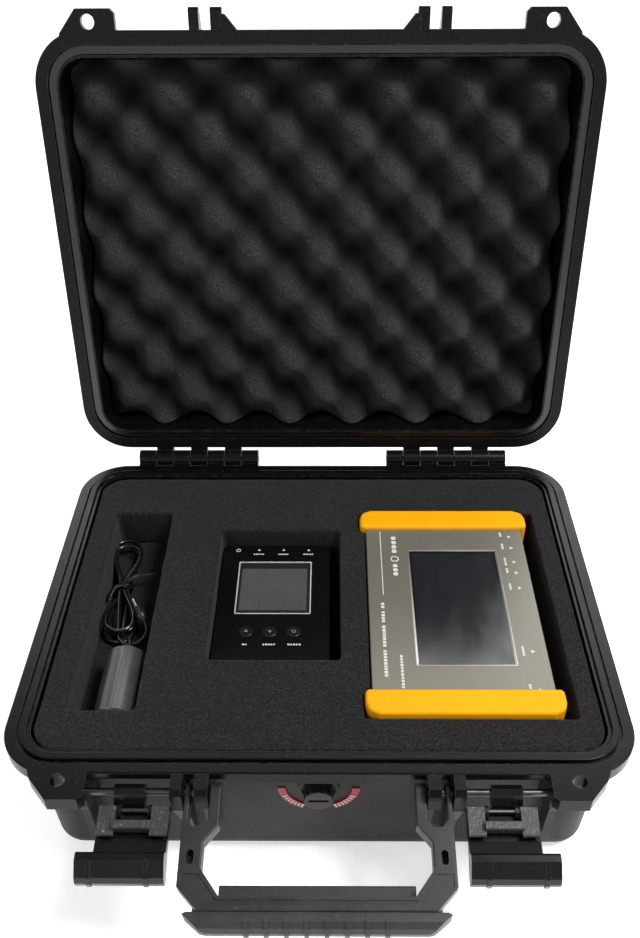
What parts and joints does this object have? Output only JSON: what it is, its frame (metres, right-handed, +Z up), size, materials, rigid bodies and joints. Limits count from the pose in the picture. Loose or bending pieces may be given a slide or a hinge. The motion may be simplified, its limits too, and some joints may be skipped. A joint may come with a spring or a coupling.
{
  "type": "cased video signal test kit",
  "caption": "Hard carrying case with two draw latches, folding handle and vent valve; cut foam holds a touch-screen signal generator, a small signal analyser and a power adapter with lead.",
  "frame": {"origin": "centre of the underside of the case's base, the face it rests on", "axes": "+Z up, -Y towards the latches and handle, +X to the right when facing the latches"},
  "size_m": [0.34, 0.4382, 0.3771],
  "materials": {
    "case_plastic": "satin textured polypropylene",
    "latch_plastic": "smooth satin",
    "hook_plastic": "coarse textured",
    "handle_plastic": "textured",
    "grip_rubber": "soft",
    "foam": "open-cell foam",
    "seal_rubber": "satin",
    "steel_pin": "polished",
    "valve_plastic": "satin",
    "red_mark": "printed",
    "yellow_rubber": "satin",
    "grey_casing": "satin",
    "screen_glass": "gloss",
    "window_glass": "gloss",
    "display_panel": "satin",
    "circuit_board": "solder mask",
    "battery_wrap": "shrink wrap",
    "plated_metal": "bright",
    "screw_steel": "zinc",
    "analyser_casing": "fine matt",
    "frame_print": "satin",
    "key_rubber": "satin",
    "adapter_casing": "satin",
    "moulded_plug": "satin",
    "cord_jacket": "satin",
    "tie_wire": "satin"
  },
  "bodies": {
    "base": {"base_shell": "case_plastic", "foam_top_layer": "foam", "foam_middle_layer": "foam", "foam_base_pad": "foam", "hinge_pin_left": "steel_pin", "hinge_pin_right": "steel_pin", "front_pin_left": "steel_pin", "front_pin_right": "steel_pin", "valve_marks": "red_mark"},
    "lid": {"lid_shell": "case_plastic", "lid_seal": "seal_rubber", "lid_foam": "foam"},
    "left_latch": {"left_latch_lever": "latch_plastic", "left_latch_rod": "steel_pin"},
    "right_latch": {"right_latch_lever": "latch_plastic", "right_latch_rod": "steel_pin"},
    "left_hook": {"left_latch_hook": "hook_plastic"},
    "right_hook": {"right_latch_hook": "hook_plastic"},
    "handle": {"handle_frame": "handle_plastic", "handle_grip": "grip_rubber"},
    "valve": {"valve_knob": "valve_plastic"},
    "generator": {"generator_back_shell": "grey_casing", "generator_battery": "battery_wrap", "generator_bumper_front": "yellow_rubber", "generator_bumper_rear": "yellow_rubber", "generator_circuit_board": "circuit_board", "generator_display": "display_panel", "generator_front_shell": "grey_casing", "generator_screws": "screw_steel", "generator_sockets": "plated_metal", "generator_touch_glass": "screen_glass"},
    "analyser": {"analyser_back_shell": "analyser_casing", "analyser_battery": "battery_wrap", "analyser_circuit_board": "circuit_board", "analyser_display": "display_panel", "analyser_front_shell": "analyser_casing", "analyser_screws": "screw_steel", "analyser_sockets": "plated_metal", "analyser_window": "window_glass", "analyser_window_frame": "frame_print"},
    "adapter": {"adapter_circuit_board": "circuit_board", "adapter_cord_hank": "cord_jacket", "adapter_cord_lead": "cord_jacket", "adapter_cord_tail": "cord_jacket", "adapter_half_left": "adapter_casing", "adapter_half_right": "adapter_casing", "adapter_inlet": "moulded_plug", "adapter_inlet_pins": "plated_metal", "adapter_plug": "moulded_plug", "adapter_plug_barrel": "plated_metal", "adapter_strain_relief": "moulded_plug", "cord_tie": "tie_wire"},
    "analyser_key_left": {"analyser_button_left": "key_rubber"},
    "analyser_key_middle": {"analyser_button_middle": "key_rubber"},
    "analyser_key_right": {"analyser_button_right": "key_rubber"},
    "analyser_power": {"analyser_power_button": "key_rubber"}
  },
  "joints": [
    {"name": "lid_hinge", "type": "hinge", "parent": "base", "child": "lid", "pos_m": [0, 0.1414, 0.096], "axis": [-1, 0, 0], "range_deg": [-100, 0]},
    {"name": "left_latch_lever", "type": "hinge", "parent": "base", "child": "left_latch", "pos_m": [-0.098, -0.1363, 0.0845], "axis": [1, 0, 0], "range_deg": [-102, 0]},
    {"name": "left_latch_hook", "type": "hinge", "parent": "left_latch", "child": "left_hook", "pos_m": [-0.098, -0.14617, 0.08189], "axis": [-1, 0, 0], "range_deg": [0, 25]},
    {"name": "right_latch_lever", "type": "hinge", "parent": "base", "child": "right_latch", "pos_m": [0.098, -0.1363, 0.0845], "axis": [1, 0, 0], "range_deg": [-102, 0]},
    {"name": "right_latch_hook", "type": "hinge", "parent": "right_latch", "child": "right_hook", "pos_m": [0.098, -0.14617, 0.08189], "axis": [-1, 0, 0], "range_deg": [0, 25]},
    {"name": "handle_swing", "type": "hinge", "parent": "base", "child": "handle", "pos_m": [0, -0.1363, 0.0845], "axis": [-1, 0, 0], "range_deg": [-75, 45]},
    {"name": "valve_turn", "type": "hinge", "parent": "base", "child": "valve", "pos_m": [0, -0.1224, 0.0672], "axis": [0, -1, 0], "range_deg": [0, 90]},
    {"name": "generator_lift", "type": "slide", "parent": "base", "child": "generator", "axis": [0, 0, 1], "range_m": [0, 0.12]},
    {"name": "analyser_lift", "type": "slide", "parent": "base", "child": "analyser", "axis": [0, 0, 1], "range_m": [0, 0.12]},
    {"name": "adapter_lift", "type": "slide", "parent": "base", "child": "adapter", "axis": [0, 0, 1], "range_m": [0, 0.12]},
    {"name": "analyser_key_left_press", "type": "slide", "parent": "analyser", "child": "analyser_key_left", "axis": [0, 0, -1], "range_m": [0, 0.0006], "stiffness_N_per_m": 600},
    {"name": "analyser_key_middle_press", "type": "slide", "parent": "analyser", "child": "analyser_key_middle", "axis": [0, 0, -1], "range_m": [0, 0.0006], "stiffness_N_per_m": 600},
    {"name": "analyser_key_right_press", "type": "slide", "parent": "analyser", "child": "analyser_key_right", "axis": [0, 0, -1], "range_m": [0, 0.0006], "stiffness_N_per_m": 600},
    {"name": "analyser_power_press", "type": "slide", "parent": "analyser", "child": "analyser_power", "axis": [0, -1, 0], "range_m": [0, 0.0006], "stiffness_N_per_m": 600}
  ]
}
